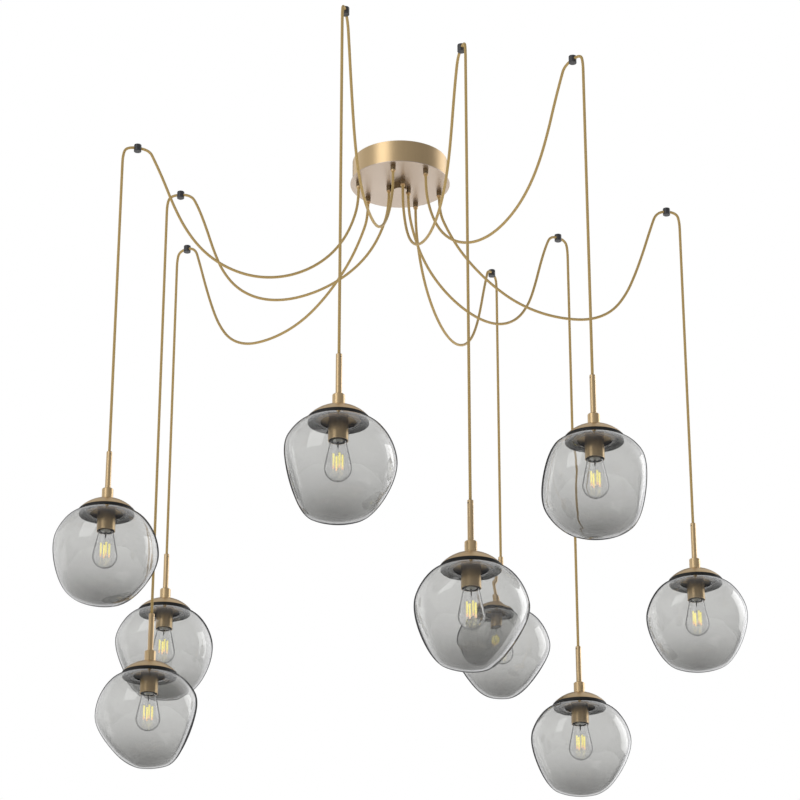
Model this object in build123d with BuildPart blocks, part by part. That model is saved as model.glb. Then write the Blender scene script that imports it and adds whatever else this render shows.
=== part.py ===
"""Cluster pendant: nine blown-glass lamps swagged from one round ceiling canopy.

Millimetres, +Z up. The origin is the middle of the canopy on the ceiling plane.
Each cord leaves a gland under the canopy, sags outward to its own ceiling hook,
passes through the hook and drops straight down to its lamp.
"""

from build123d import *
from math import cos, pi, radians, sin, sqrt, tan
import os

os.makedirs("parts", exist_ok=True)

# ---- driving dimensions: canopy ----
canopy_diameter = 225.0
canopy_depth = 58.0  # ceiling to the underside of the plate
drum_wall = 1.5
plate_overhang = 5.0  # how far the plate stands proud of the drum
plate_diameter = canopy_diameter + 2 * plate_overhang
plate_thickness = 2.0
plate_bevel = 0.6
knob_diameter = 33.0
knob_height = 16.0
knob_stud_diameter = 8.0
knob_edge = 1.2
bracket_end_gap = 6.0  # from each end of the bracket to the drum's wall
bracket_length = canopy_diameter - 2 * (drum_wall + bracket_end_gap)
bracket_width = 26.0
bracket_thickness = 2.5
bracket_lip = 12.0  # how deep its ends are turned down
bracket_lip_width = 16.0
bracket_corner = 4.0
box_screw_spacing = 88.9
box_slot_length = 16.0
box_slot_width = 4.8

# ---- driving dimensions: cords, glands and ceiling hooks ----
cord_diameter = 6.35
gland_diameter = 12.5
gland_height = 16.5
gland_step = 5.5  # height of the slimmer stretch at the mouth
gland_step_depth = 0.9
gland_mouth_depth = 8.0  # how deep the cord's end sits
gland_thread_diameter = 9.5
gland_nut_across_flats = 13.0
gland_nut_height = 4.0
inner_gland_ring = 27.0
outer_gland_ring = canopy_diameter / 2 - 14
hook_diameter = 17.5
hook_height = 17.0
hook_edge = 0.8
hook_cord_depth = 7.5  # ceiling to the cord's axis
hook_screw_diameter = 4.0
hook_screw_depth = 3.4
drop_offset = 34.0  # hook axis to drop axis
cord_gap = 0.2  # running gap round a cord in a hole

# ---- driving dimensions: one lamp, heights from the plane of its glass neck ----
stem_diameter = 12.7
stem_length = 88.9
stem_edge = 0.8
cord_socket_depth = 12.0
collar_diameter = 25.4
collar_top = 55.25
collar_edge = 1.6
collar_socket_depth = 10.0
nipple_diameter = 10.0
nipple_reach = 12.5  # below the seat of the collar
cap_diameter = 125.0
cap_rim = 2.0  # height of the cap's lower edge
cap_height = 28.5
cap_wall = 1.5
gasket_inner_diameter = 92.0
gasket_thickness = 3.5
gasket_inset = 0.3  # its upper face ends this far inside the cap's wall
socket_diameter = 40.6
socket_wall = 1.2
socket_bottom = -45.0
socket_neck_diameter = 23.4
socket_neck_height = 3.0
socket_shoulder_height = 5.0  # the slope from its neck to its full width
holder_diameter = 37.2
holder_bottom = -22.0
bulb_diameter = 55.0
bulb_tip = -131.0
bulb_taper_angle = 11.5  # the neck's slope from upright
bulb_neck_diameter = 24.6
bulb_base_diameter = 26.4
bulb_base_bottom = -18.0
bulb_base_height = 24.0
bulb_contact_diameter = 10.0
bulb_contact_height = 3.0
bulb_wall = 0.9
filament_bottom = -106.0
filament_top = -74.0
filament_diameter = 1.8
filament_spread = 19.0
filament_turn = 20.0  # the cage's turn about the lamp's axis
filament_rod_diameter = 2.4
filament_arm = 1.0  # thickness of the cage's cross arms
flare_diameter = 23.0
flare_height = 1.2
glass_diameter = 237.0
glass_top = -1.2
glass_wall = 3.0
glass_hole_diameter = 72.0
glass_shoulder_angle = 50.0  # from straight up, where the flattened top begins
glass_shoulder_share = 0.523  # that arc's radius over the ball's radius
dent_blend_share = 0.304  # the soft edge of a pressed side over the ball's radius

cord_radius = cord_diameter / 2
glass_radius = glass_diameter / 2
glass_shoulder_radius = glass_radius * glass_shoulder_share
shoulder_reach = glass_radius - glass_shoulder_radius
glass_centre = (glass_top - glass_shoulder_radius
                - shoulder_reach * cos(radians(glass_shoulder_angle)))
dent_blend = glass_radius * dent_blend_share
swag_exit = -canopy_depth - gland_height  # height of a gland's mouth

# ---- swag routes: (distance from the canopy's axis, height), gland to hook ----
near_route = [
    (inner_gland_ring, swag_exit), (inner_gland_ring, -112), (41, -165), (68, -219),
    (107, -262), (158, -295), (218, -317), (284, -325), (347, -313), (401, -279),
    (439, -228), (463, -170), (483, -108), (504.5, -50),
    (526.5, -hook_cord_depth), (560.75, -hook_cord_depth),
]
middle_route = [
    (outer_gland_ring, swag_exit), (outer_gland_ring, -110), (111, -163), (134, -215),
    (169, -261), (218, -298), (278, -321), (344, -324), (408, -304), (462, -266), (503, -213), (534, -151),
    (558.5, -89), (580, -41), (596.5, -hook_cord_depth), (630.75, -hook_cord_depth),
]
far_route = [
    (outer_gland_ring, swag_exit), (outer_gland_ring, -112), (118, -155), (148, -203),
    (187, -246), (234, -285), (290, -318), (353, -337), (420, -342), (485, -334), (541, -304), (580, -252),
    (607, -191), (630, -128), (651, -64), (671.5, -hook_cord_depth), (705.75, -hook_cord_depth),
]

# ---- the arch from a hook to its drop: (distance out from the hook's axis, height) ----
arch_route = [
    (hook_diameter / 2, -hook_cord_depth),
    (27, -hook_cord_depth),
    (drop_offset, -30),
]
arch_radii = [21.5, 42.0]

# ---- lamps: azimuth, drop radius, height of the neck plane, gland ring, route, ----
# ---- pressed sides of the glass as (azimuth, elevation, distance from its centre ----
# ---- over the ball's radius) ----
lamps = {
    "a": (188.3, 655, -923, outer_gland_ring, middle_route,
          [(179, -19, 0.932), (16, -25, 0.945), (-80, -35, 0.937)]),
    "b": (164.6, 585, -1218, inner_gland_ring, near_route,
          [(173, -36, 0.869), (12, -22, 0.852), (-70, -30, 0.911)]),
    "c": (140.7, 727, -962, outer_gland_ring, far_route,
          [(177, -24, 0.844), (19, -36, 0.937), (-100, -10, 0.937)]),
    "d": (260.55, 743, -973, outer_gland_ring, far_route,
          [(175, -15, 0.810), (16, -32, 0.945), (80, -20, 0.928)]),
    "e": (283.9, 595, -1228, inner_gland_ring, near_route,
          [(9, -28, 0.870), (167, -30, 0.928), (-95, -15, 0.928)]),
    "f": (307.6, 659, -926, outer_gland_ring, middle_route,
          [(-1, -9, 0.895), (179, 0, 0.924), (-90, -40, 0.928)]),
    "g": (67.9, 658, -915, outer_gland_ring, middle_route,
          [(11, -35, 0.835), (166, -33, 0.886), (-85, -5, 0.928)]),
    "h": (43.8, 580, -1215, inner_gland_ring, near_route,
          [(169, -24, 0.869), (10, -40, 0.878), (-85, -5, 0.920)]),
    "i": (19.9, 728, -964, outer_gland_ring, far_route,
          [(161, -33, 0.903), (9, -30, 0.920), (-100, -20, 0.928)]),
}


def radial_plane(azimuth, distance=0.0, height=0.0):
    """Upright plane through the canopy's axis: x points outward, y up."""
    outward = Vector(cos(radians(azimuth)), sin(radians(azimuth)), 0)
    sideways = Vector(sin(radians(azimuth)), -cos(radians(azimuth)), 0)
    start = outward * distance + Vector(0, 0, height)
    return Plane(origin=start, x_dir=outward, z_dir=sideways)


def upright(plane):
    """The vertical axis through a plane's origin."""
    return Axis(plane.origin, (0, 0, 1))


def bend_radii(route):
    """At each corner 0.45 of the shorter run over the tangent of half the turn."""
    radii = []
    for before, corner, after in zip(route, route[1:], route[2:]):
        run_in = Vector(*corner) - Vector(*before)
        run_out = Vector(*after) - Vector(*corner)
        turn = radians(run_in.get_angle(run_out))
        radii.append(0.45 * min(run_in.length, run_out.length) / tan(turn / 2))
    return radii


def cord(plane, route, radii):
    """A round cord along straight runs joined by tangent arcs."""
    with BuildPart() as tube:
        with BuildLine(plane):
            path = FilletPolyline(*route, radius=radii)
        with BuildSketch(path ^ 0):
            Circle(cord_radius)
        sweep(path=path)
    return tube.part, path.length, tube.part.volume / (pi * cord_radius**2 * path.length)


def save(part, name):
    """Label one finished piece and write its STEP file."""
    part.label = name
    export_step(part, "parts/" + name + ".step")


# ---- canopy drum: an open-ended spun ring from the ceiling to the plate ----
drum_depth = canopy_depth - plate_thickness
with BuildPart() as canopy_drum:
    with BuildSketch(Plane.XY.offset(-drum_depth)):
        Circle(canopy_diameter / 2)
        Circle(canopy_diameter / 2 - drum_wall, mode=Mode.SUBTRACT)
    extrude(amount=drum_depth)
save(canopy_drum.part, "canopy_drum")

gland_places = [radial_plane(lamp[0], lamp[3]).origin for lamp in lamps.values()]

# ---- canopy plate: a disc that stands a little proud of the drum ----
with BuildPart() as canopy_plate:
    with BuildSketch(Plane.XY.offset(-canopy_depth)):
        Circle(plate_diameter / 2)
        Circle(knob_stud_diameter / 2, mode=Mode.SUBTRACT)
        with Locations(*gland_places):
            Circle(gland_thread_diameter / 2, mode=Mode.SUBTRACT)
    extrude(amount=plate_thickness)
    rim = canopy_plate.edges().filter_by(GeomType.CIRCLE).sort_by(SortBy.RADIUS)[-2:]
    chamfer(rim.sort_by(Axis.Z)[:1], length=plate_bevel)
save(canopy_plate.part, "canopy_plate")

# ---- mounting bracket: a slotted crossbar with its ends turned down ----
with BuildPart() as mounting_bracket:
    with BuildSketch():
        RectangleRounded(bracket_length, bracket_width, bracket_corner)
        Circle(knob_stud_diameter / 2, mode=Mode.SUBTRACT)
        with GridLocations(box_screw_spacing, 0, 2, 1):
            SlotOverall(box_slot_length, box_slot_width, mode=Mode.SUBTRACT)
    extrude(amount=-bracket_thickness)
    with BuildSketch(Plane.XY.offset(-bracket_thickness)):
        with GridLocations(bracket_length - bracket_thickness, 0, 2, 1):
            Rectangle(bracket_thickness, bracket_lip_width)
    extrude(amount=-bracket_lip)
save(mounting_bracket.part, "mounting_bracket")

# ---- canopy knob: the round nut under the plate and the stud that pulls it up ----
with BuildPart() as canopy_knob:
    with BuildSketch(Plane.XZ):
        with BuildLine():
            Polyline(
                (0, 0),
                (knob_stud_diameter / 2, 0),
                (knob_stud_diameter / 2, -canopy_depth),
                (knob_diameter / 2, -canopy_depth),
                (knob_diameter / 2, -canopy_depth - knob_height),
                (0, -canopy_depth - knob_height),
                close=True,
            )
        make_face()
    revolve(axis=Axis.Z)
    foot = canopy_knob.edges().filter_by(GeomType.CIRCLE).group_by(Axis.Z)[0]
    fillet(foot, radius=knob_edge)
save(canopy_knob.part, "canopy_knob")

# ---- cord glands: a turned body under the plate, its thread and a hexagon nut ----
nut_top = -canopy_depth + plate_thickness + gland_nut_height
with BuildPart() as gland_body:
    with BuildSketch(Plane.XZ):
        with BuildLine():
            Polyline(
                (0, nut_top),
                (gland_thread_diameter / 2, nut_top),
                (gland_thread_diameter / 2, -canopy_depth),
                (gland_diameter / 2, -canopy_depth),
                (gland_diameter / 2, swag_exit + gland_step),
                (gland_diameter / 2 - gland_step_depth, swag_exit + gland_step),
                (gland_diameter / 2 - gland_step_depth, swag_exit),
                (cord_radius + cord_gap, swag_exit),
                (cord_radius + cord_gap, swag_exit + gland_mouth_depth),
                (0, swag_exit + gland_mouth_depth),
                close=True,
            )
        make_face()
    revolve(axis=Axis.Z)
with BuildPart() as gland_nut:
    with BuildSketch(Plane.XY.offset(-canopy_depth + plate_thickness)):
        RegularPolygon(gland_nut_across_flats / 2, 6, major_radius=False)
        Circle(gland_thread_diameter / 2, mode=Mode.SUBTRACT)
    extrude(amount=gland_nut_height)
with BuildPart() as cord_glands:
    with Locations(*gland_places):
        add(gland_body.part)
        add(gland_nut.part)
save(cord_glands.part, "cord_glands")

# ---- ceiling hooks: a round body, cross-drilled for the cord, tapped on top ----
with BuildPart() as hook_body:
    with BuildSketch():
        Circle(hook_diameter / 2)
    extrude(amount=-hook_height)
    chamfer(hook_body.edges().filter_by(GeomType.CIRCLE).sort_by(Axis.Z)[:1], length=hook_edge)
    with BuildSketch(Plane.YZ.offset(-hook_diameter)):
        with Locations((0, -hook_cord_depth)):
            Circle(cord_radius + cord_gap)
    extrude(amount=2 * hook_diameter, mode=Mode.SUBTRACT)
    with BuildSketch():
        Circle(hook_screw_diameter / 2)
    extrude(amount=-hook_screw_depth, mode=Mode.SUBTRACT)
hook_places = [
    Location(radial_plane(azimuth, drop - drop_offset).origin, (0, 0, azimuth))
    for azimuth, drop, *rest in lamps.values()
]
with BuildPart() as ceiling_hooks:
    for place in hook_places:
        with Locations(place):
            add(hook_body.part)
save(ceiling_hooks.part, "ceiling_hooks")

# ---- outlines shared by the lamps ----
cap_sphere = (cap_diameter**2 / 4 + cap_height**2) / (2 * cap_height)
cap_inner_sphere = cap_sphere - cap_wall
cap_centre = cap_rim + cap_height - cap_sphere
cap_rim_inner = sqrt(cap_inner_sphere**2 - (cap_centre - cap_rim) ** 2)
collar_seat = cap_centre + sqrt(cap_sphere**2 - collar_diameter**2 / 4)
socket_top = cap_centre + sqrt(cap_inner_sphere**2 - collar_diameter**2 / 4)
stem_top = collar_top + stem_length
bulb_base_top = bulb_base_bottom + bulb_base_height


def on_circle(centre, radius, distance):
    """Height of the upper half of a circle at a distance from the axis."""
    return centre[1] + sqrt(radius**2 - (distance - centre[0]) ** 2)


def shoulder_centre():
    """Centre of the arc that flattens the top of the glass."""
    angle = radians(glass_shoulder_angle)
    return (shoulder_reach * sin(angle), glass_centre + shoulder_reach * cos(angle))


def turn(plane, outline):
    """A solid turned about a plane's upright axis from a closed half section."""
    with BuildPart() as turned:
        with BuildSketch(plane):
            with BuildLine():
                Polyline(*outline, close=True)
            make_face()
        revolve(axis=upright(plane))
    return turned.part


def make_dome(plane):
    """Spun cap of even wall, bored for the nipple and flat under the collar."""
    ball = (0, cap_centre)
    middle = cap_diameter / 4
    with BuildPart() as dome:
        with BuildSketch(plane):
            with BuildLine():
                outer_arc = ThreePointArc(
                    (collar_diameter / 2, collar_seat),
                    (middle, on_circle(ball, cap_sphere, middle)),
                    (cap_diameter / 2, cap_rim),
                )
                Line(outer_arc @ 1, (cap_rim_inner, cap_rim))
                inner_arc = ThreePointArc(
                    (cap_rim_inner, cap_rim),
                    (middle, on_circle(ball, cap_inner_sphere, middle)),
                    (collar_diameter / 2, socket_top),
                )
                Polyline(
                    inner_arc @ 1,
                    (nipple_diameter / 2, socket_top),
                    (nipple_diameter / 2, collar_seat),
                    outer_arc @ 0,
                )
            make_face()
        revolve(axis=upright(plane))
    return dome.part


def make_cap(plane):
    """Brass tube that takes the cord, a collar with a threaded nipple, and the cap."""
    tube_foot = collar_top - collar_socket_depth
    socket_floor = stem_top - cord_socket_depth
    tube = turn(plane, [
        (0, tube_foot),
        (stem_diameter / 2, tube_foot),
        (stem_diameter / 2, stem_top - stem_edge),
        (stem_diameter / 2 - stem_edge, stem_top),
        (cord_radius + cord_gap, stem_top),
        (cord_radius + cord_gap, socket_floor),
        (0, socket_floor),
    ])
    collar = turn(plane, [
        (0, tube_foot),
        (stem_diameter / 2, tube_foot),
        (stem_diameter / 2, collar_top),
        (collar_diameter / 2 - collar_edge, collar_top),
        (collar_diameter / 2, collar_top - collar_edge),
        (collar_diameter / 2, collar_seat),
        (nipple_diameter / 2, collar_seat),
        (nipple_diameter / 2, collar_seat - nipple_reach),
        (0, collar_seat - nipple_reach),
    ])
    return Compound(children=[tube, collar, make_dome(plane)])


def make_socket(plane):
    """Brass cup that hangs on the nipple, and the porcelain lampholder in it."""
    shoulder = socket_top - socket_neck_height - socket_shoulder_height
    cup = turn(plane, [
        (nipple_diameter / 2, socket_top),
        (socket_neck_diameter / 2, socket_top),
        (socket_neck_diameter / 2, socket_top - socket_neck_height),
        (socket_diameter / 2, shoulder),
        (socket_diameter / 2, socket_bottom),
        (socket_diameter / 2 - socket_wall, socket_bottom),
        (socket_diameter / 2 - socket_wall, shoulder - socket_wall / 2),
        (nipple_diameter / 2, shoulder - socket_wall / 2),
    ])
    holder_top = collar_seat - nipple_reach
    holder = turn(plane, [
        (0, holder_top),
        (holder_diameter / 2, holder_top),
        (holder_diameter / 2, holder_bottom),
        (bulb_base_diameter / 2, holder_bottom),
        (bulb_base_diameter / 2, bulb_base_top),
        (bulb_contact_diameter / 2, bulb_base_top),
        (bulb_contact_diameter / 2, bulb_base_top + bulb_contact_height),
        (0, bulb_base_top + bulb_contact_height),
    ])
    return Compound(children=[cup, holder])


def make_gasket(plane):
    """Rubber ring that shares the curve of the glass and fills up to the cap's rim."""
    neck = shoulder_centre()
    edge = cap_diameter / 2
    lip = gasket_inner_diameter / 2
    middle = (edge + lip) / 2
    with BuildPart() as gasket:
        with BuildSketch(plane):
            with BuildLine():
                seat = ThreePointArc(
                    (edge, on_circle(neck, glass_shoulder_radius, edge)),
                    (middle, on_circle(neck, glass_shoulder_radius, middle)),
                    (lip, on_circle(neck, glass_shoulder_radius, lip)),
                )
                Polyline(
                    seat @ 1,
                    (seat @ 1) + Vector(0, gasket_thickness),
                    (cap_rim_inner - gasket_inset, cap_rim),
                    (edge, cap_rim),
                    seat @ 0,
                )
            make_face()
        revolve(axis=upright(plane))
    return gasket.part


def draw_glass_outline(inset):
    """Draw the half section of the ball with its flattened top, inset from its face."""
    neck = shoulder_centre()
    angle = radians(glass_shoulder_angle)
    ball = glass_radius - inset
    shoulder = glass_shoulder_radius - inset
    join = (ball * sin(angle), glass_centre + ball * cos(angle))
    top = (neck[0], neck[1] + shoulder)
    half = radians(glass_shoulder_angle / 2)
    halfway = (neck[0] + shoulder * sin(half), neck[1] + shoulder * cos(half))
    ThreePointArc(join, (ball, glass_centre), (0, glass_centre - ball))
    ThreePointArc(join, halfway, top)
    Polyline(top, (0, top[1]), (0, glass_centre - ball))


def pressed_ball(plane, presses, inset):
    """The ball turned from its outline, pressed flat on some sides with soft edges."""
    centre = plane.origin + Vector(0, 0, glass_centre)
    with BuildPart() as ball:
        with BuildSketch(plane):
            with BuildLine():
                draw_glass_outline(inset)
            make_face()
        revolve(axis=upright(plane))
        soft = []
        for azimuth, elevation, share in presses:
            level = cos(radians(elevation))
            out = Vector(
                level * cos(radians(azimuth)),
                level * sin(radians(azimuth)),
                sin(radians(elevation)),
            )
            cut = Plane(origin=centre + out * (share * glass_radius - inset), z_dir=out)
            split(bisect_by=cut, keep=Keep.BOTTOM)
            soft.append(cut)
        for cut in soft:
            face = ball.faces().filter_by(GeomType.PLANE).sort_by_distance(cut.origin)[0]
            fillet(face.edges(), radius=dent_blend - inset)
    return ball.part


def make_shade(plane, presses):
    """Blown ball of even wall, open at the neck, with the gasket that sits on it."""
    outside = pressed_ball(plane, presses, 0)
    inside = pressed_ball(plane, presses, glass_wall)
    with BuildPart() as shade:
        add(outside)
        add(inside, mode=Mode.SUBTRACT)
        with BuildSketch(Plane(origin=plane.origin)):
            Circle(glass_hole_diameter / 2)
        extrude(amount=glass_shoulder_radius / 2, both=True, mode=Mode.SUBTRACT)
    return Compound(children=[shade.part, make_gasket(plane)])


def draw_bulb_wall(inset):
    """Draw one side of the bulb's glass, neck to tip, and return its two ends."""
    ball = bulb_diameter / 2 - inset
    neck = bulb_neck_diameter / 2 - inset
    ball_centre = bulb_tip + bulb_diameter / 2
    slope = radians(bulb_taper_angle)
    touch = (ball * cos(slope), ball_centre + ball * sin(slope))
    shoulder = (neck, touch[1] + (touch[0] - neck) / tan(slope))
    corner = radians(45)
    Polyline((neck, bulb_base_bottom), shoulder, touch)
    ThreePointArc(touch, (ball * sin(corner), ball_centre - ball * cos(corner)),
                  (0, ball_centre - ball))
    return (neck, bulb_base_bottom), (0, ball_centre - ball)


def make_bulb(plane):
    """Clear taper bulb: screw base, hollow glass and a cage of four filaments."""
    base = turn(plane, [
        (0, bulb_base_bottom),
        (bulb_base_diameter / 2, bulb_base_bottom),
        (bulb_base_diameter / 2, bulb_base_top),
        (bulb_contact_diameter / 2, bulb_base_top),
        (bulb_contact_diameter / 2, bulb_base_top + bulb_contact_height),
        (0, bulb_base_top + bulb_contact_height),
    ])
    with BuildPart() as envelope:
        with BuildSketch(plane):
            with BuildLine():
                outer_neck, outer_tip = draw_bulb_wall(0)
                inner_neck, inner_tip = draw_bulb_wall(bulb_wall)
                Line(outer_neck, inner_neck)
                Line(outer_tip, inner_tip)
            make_face()
        revolve(axis=upright(plane))
    foot = Plane(origin=plane.origin + Vector(0, 0, filament_bottom))
    head = Plane(origin=plane.origin + Vector(0, 0, filament_top))
    flare = Plane(origin=plane.origin + Vector(0, 0, socket_bottom + flare_height))
    with BuildPart() as cage:
        with BuildSketch(flare):
            Circle(flare_diameter / 2)
        extrude(amount=flare_height)
        with BuildSketch(foot):
            Circle(filament_rod_diameter / 2)
        extrude(amount=bulb_base_bottom - filament_bottom)
        for end in (foot, head):
            with BuildSketch(end):
                with PolarLocations(filament_spread / 4, 4, start_angle=filament_turn):
                    Rectangle(filament_spread / 2, filament_arm)
            extrude(amount=filament_arm)
        with BuildSketch(foot):
            with PolarLocations(filament_spread / 2, 4, start_angle=filament_turn):
                Circle(filament_diameter / 2)
        extrude(amount=filament_top - filament_bottom + filament_arm)
    return Compound(children=[base, envelope.part, cage.part])


# ---- one set of pieces for each lamp ----
for letter, lamp in lamps.items():
    azimuth, drop, neck_height, gland_ring, route, presses = lamp
    hook = drop - drop_offset
    route_start = route[0][0]
    stretch = (hook + hook_diameter / 2 - route_start) / (route[-1][0] - route_start)
    swag_points = [(route_start + (r - route_start) * stretch, z) for r, z in route]
    swag_points[0] = (gland_ring, swag_exit + gland_mouth_depth)
    swag_radii = bend_radii(swag_points)
    swag, swag_length, swag_fill = cord(radial_plane(azimuth), swag_points, swag_radii)
    save(swag, "swag_cord_" + letter)

    socket_floor = neck_height + stem_top - cord_socket_depth
    drop_points = [(hook + r, z) for r, z in arch_route] + [(drop, socket_floor)]
    fall, fall_length, fall_fill = cord(radial_plane(azimuth), drop_points, arch_radii)
    save(fall, "drop_cord_" + letter)
    print(letter, "swag", round(swag_length, 1), "drop", round(fall_length, 1),
          "fill", round(swag_fill, 4), round(fall_fill, 4),
          "radii", [round(r, 1) for r in swag_radii + arch_radii])

    lamp_plane = radial_plane(azimuth, drop, neck_height)
    save(make_cap(lamp_plane), "cap_" + letter)
    save(make_socket(lamp_plane), "socket_" + letter)
    save(make_shade(lamp_plane, presses), "shade_" + letter)
    save(make_bulb(lamp_plane), "bulb_" + letter)
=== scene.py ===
"""Cluster pendant: the dressed model of nine blown-glass lamps on swagged cords.

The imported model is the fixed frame, in metres, +Z up, with its origin in the middle of the
canopy on the ceiling plane. The sizes below are in millimetres, and the heights in a lamp
are measured from the plane of its glass neck.
"""

from math import asin, cos, pi, radians, sin, sqrt, tan

import bmesh
import bpy
from bpy.props import FloatProperty, FloatVectorProperty, IntProperty, PointerProperty
from mathutils import Matrix, Vector, noise


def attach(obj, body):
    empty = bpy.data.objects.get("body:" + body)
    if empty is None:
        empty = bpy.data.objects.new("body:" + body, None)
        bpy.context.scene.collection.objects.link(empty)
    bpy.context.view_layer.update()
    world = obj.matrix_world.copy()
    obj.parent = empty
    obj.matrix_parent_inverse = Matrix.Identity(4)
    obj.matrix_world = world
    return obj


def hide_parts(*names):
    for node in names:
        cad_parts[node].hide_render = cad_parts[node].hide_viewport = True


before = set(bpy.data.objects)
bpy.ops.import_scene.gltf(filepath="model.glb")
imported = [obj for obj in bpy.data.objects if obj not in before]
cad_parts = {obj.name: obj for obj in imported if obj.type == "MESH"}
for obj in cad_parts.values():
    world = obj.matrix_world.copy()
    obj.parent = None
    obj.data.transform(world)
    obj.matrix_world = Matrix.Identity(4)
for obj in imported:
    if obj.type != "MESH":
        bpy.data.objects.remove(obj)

bl_info = {
    "name": "Cluster pendant",
    "version": (1, 0, 0),
    "blender": (4, 5, 0),
    "location": "3D View > Sidebar > Pendant",
    "description": "Builds a cluster pendant of pressed glass globes on swagged cords",
    "category": "Object",
}

MM = 0.001

# Each swag runs from its gland to its hook, as (distance from the canopy's axis, height).
near_route = [
    (27, -74.5), (27, -112), (41, -165), (68, -219), (107, -262), (158, -295),
    (218, -317), (284, -325), (347, -313), (401, -279), (439, -228), (463, -170),
    (483, -108), (504.5, -50), (526.5, -7.5), (560.75, -7.5),
]
middle_route = [
    (98.5, -74.5), (98.5, -110), (111, -163), (134, -215), (169, -261), (218, -298),
    (278, -321), (344, -324), (408, -304), (462, -266), (503, -213), (534, -151),
    (558.5, -89), (580, -41), (596.5, -7.5), (630.75, -7.5),
]
far_route = [
    (98.5, -74.5), (98.5, -112), (118, -155), (148, -203), (187, -246), (234, -285),
    (290, -318), (353, -337), (420, -342), (485, -334), (541, -304), (580, -252),
    (607, -191), (630, -128), (651, -64), (671.5, -7.5), (705.75, -7.5),
]
# Azimuth, drop radius, height of the neck plane, radius of the gland's ring, swag route, and
# the pressed sides as (azimuth, elevation, distance over the ball's radius).
lamps = {
    "a": (188.3, 655, -923, 98.5, middle_route,
          [(190.5, -16.1, 0.944), (31, -29.9, 0.926), (-80, -35, 0.937)]),
    "b": (164.6, 585, -1218, 27, near_route,
          [(170, -39.7, 0.908), (10.4, -19.1, 0.851), (-70, -30, 0.911)]),
    "c": (140.7, 727, -962, 98.5, far_route,
          [(175.7, -23.9, 0.886), (27.8, -14.2, 0.933), (-100, -10, 0.937)]),
    "d": (260.55, 743, -973, 98.5, far_route,
          [(174, -14.1, 0.851), (26, -21.6, 0.924), (80, -20, 0.928)]),
    "e": (283.9, 595, -1228, 27, near_route,
          [(9.1, -33.2, 0.876), (180.5, -23.2, 0.918), (-95, -15, 0.928)]),
    "f": (307.6, 659, -926, 98.5, middle_route,
          [(1.5, -6.3, 0.877), (179.4, 12, 0.923), (-90, -40, 0.928)]),
    "g": (67.9, 658, -915, 98.5, middle_route,
          [(11, -35, 0.860), (166, -33, 0.905), (-85, -5, 0.935)]),
    "h": (43.8, 580, -1215, 27, near_route,
          [(170.9, -20.4, 0.921), (14.9, -27.1, 0.900), (-85, -5, 0.920)]),
    "i": (19.9, 728, -964, 98.5, far_route,
          [(157.7, -20, 0.938), (12.1, -17.2, 0.916), (-100, -20, 0.928)]),
}
swag_lengths = dict(a=857, b=866, c=945, d=958, e=873, f=860, g=859, h=862, i=946)
drop_lengths = dict(a=798, b=1093, c=837, d=848, e=1103, f=801, g=790, h=1090, i=839)

cord_diameter = 6.35
cord_bore = cord_diameter / 2 + 0.2
braid_rounds, braid_threads = 620, 6
hook_diameter, hook_height, hook_cord_depth = 17.5, 17.0, 7.5
hook_hole, hook_hole_depth = 2.0, 3.4
drop_offset = 34.0
canopy_depth, plate_thickness = 58.0, 2.0
drum_radius, drum_wall, plate_radius = 112.5, 1.5, 117.5
stud_radius, knob_radius, knob_bottom, knob_face = 4.0, 16.5, -73.7, -74.0
gland_diameter, gland_height, mouth_depth, mouth_ring = 12.5, 16.5, 8.0, 4.6
gland_thread, gland_top = 4.75, -52.0
nut_radius, nut_height, nut_middle = 7.5, 4.0, -54.0
stem_diameter, stem_length, cord_socket_depth = 12.7, 88.9, 12.0
collar_diameter, collar_top, collar_socket_depth = 25.4, 55.25, 10.0
nipple_diameter, nipple_reach = 10.0, 12.5
cap_diameter, cap_rim, cap_height, cap_wall = 125.0, 2.0, 28.5, 1.5
gasket_inner, gasket_thickness = 92.0, 3.5
cup_diameter, cup_wall, cup_bottom = 40.6, 1.2, -45.0
holder_diameter, holder_bottom = 37.2, -22.0
bulb_diameter, bulb_tip, bulb_wall = 55.0, -131.0, 0.9
bulb_neck, bulb_taper = 24.6, radians(11.5)
filament_top, filament_foot, filament_reach, filament_turn = -74.0, -106.0, 9.5, 20.0
base_diameter, base_bottom, base_height = 26.4, -18.0, 24.0
base_top = base_bottom + base_height
contact_radius, contact_height = 5.0, 3.0
base_end = [
    (base_diameter / 2, base_top), (contact_radius, base_top),
    (contact_radius, base_top + contact_height), (0, base_top + contact_height),
]
glass_radius, glass_top, glass_wall, glass_hole = 118.5, -1.2, 3.0, 36.0
glass_foot, foot_start, neck_height = 4.0, 0.8, 60.0
press_curve = 2.5
tint_curve = 4.6
shoulder_angle, shoulder_radius = radians(50), glass_radius * 0.523
glass_centre = glass_top - shoulder_radius - (glass_radius - shoulder_radius) * cos(shoulder_angle)

cap_sphere = (cap_diameter**2 / 4 + cap_height**2) / (2 * cap_height)
cap_centre = cap_rim + cap_height - cap_sphere
collar_seat = cap_centre + sqrt(cap_sphere**2 - collar_diameter**2 / 4)
stem_top = collar_top + stem_length


def outward(letter):
    """Unit vector from the canopy's axis toward a lamp."""
    azimuth = radians(lamps[letter][0])
    return Vector((cos(azimuth), sin(azimuth), 0))


def lamp_place(letter):
    """The middle of a lamp's glass neck, in millimetres."""
    return outward(letter) * lamps[letter][1] + Vector((0, 0, lamps[letter][2]))


def hook_place(letter):
    """The middle of a hook's top, in millimetres."""
    return outward(letter) * (lamps[letter][1] - drop_offset)


def gland_place(letter):
    """The gland's axis where it meets the ceiling plane, in millimetres."""
    return outward(letter) * lamps[letter][3]


def toward(letter, outline):
    """Points of an outline of (distance, height), stood up in the direction of a lamp."""
    out = outward(letter)
    return [out * distance + Vector((0, 0, height)) for distance, height in outline]


# ---------------------------------------------------------------- mesh helpers


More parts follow.
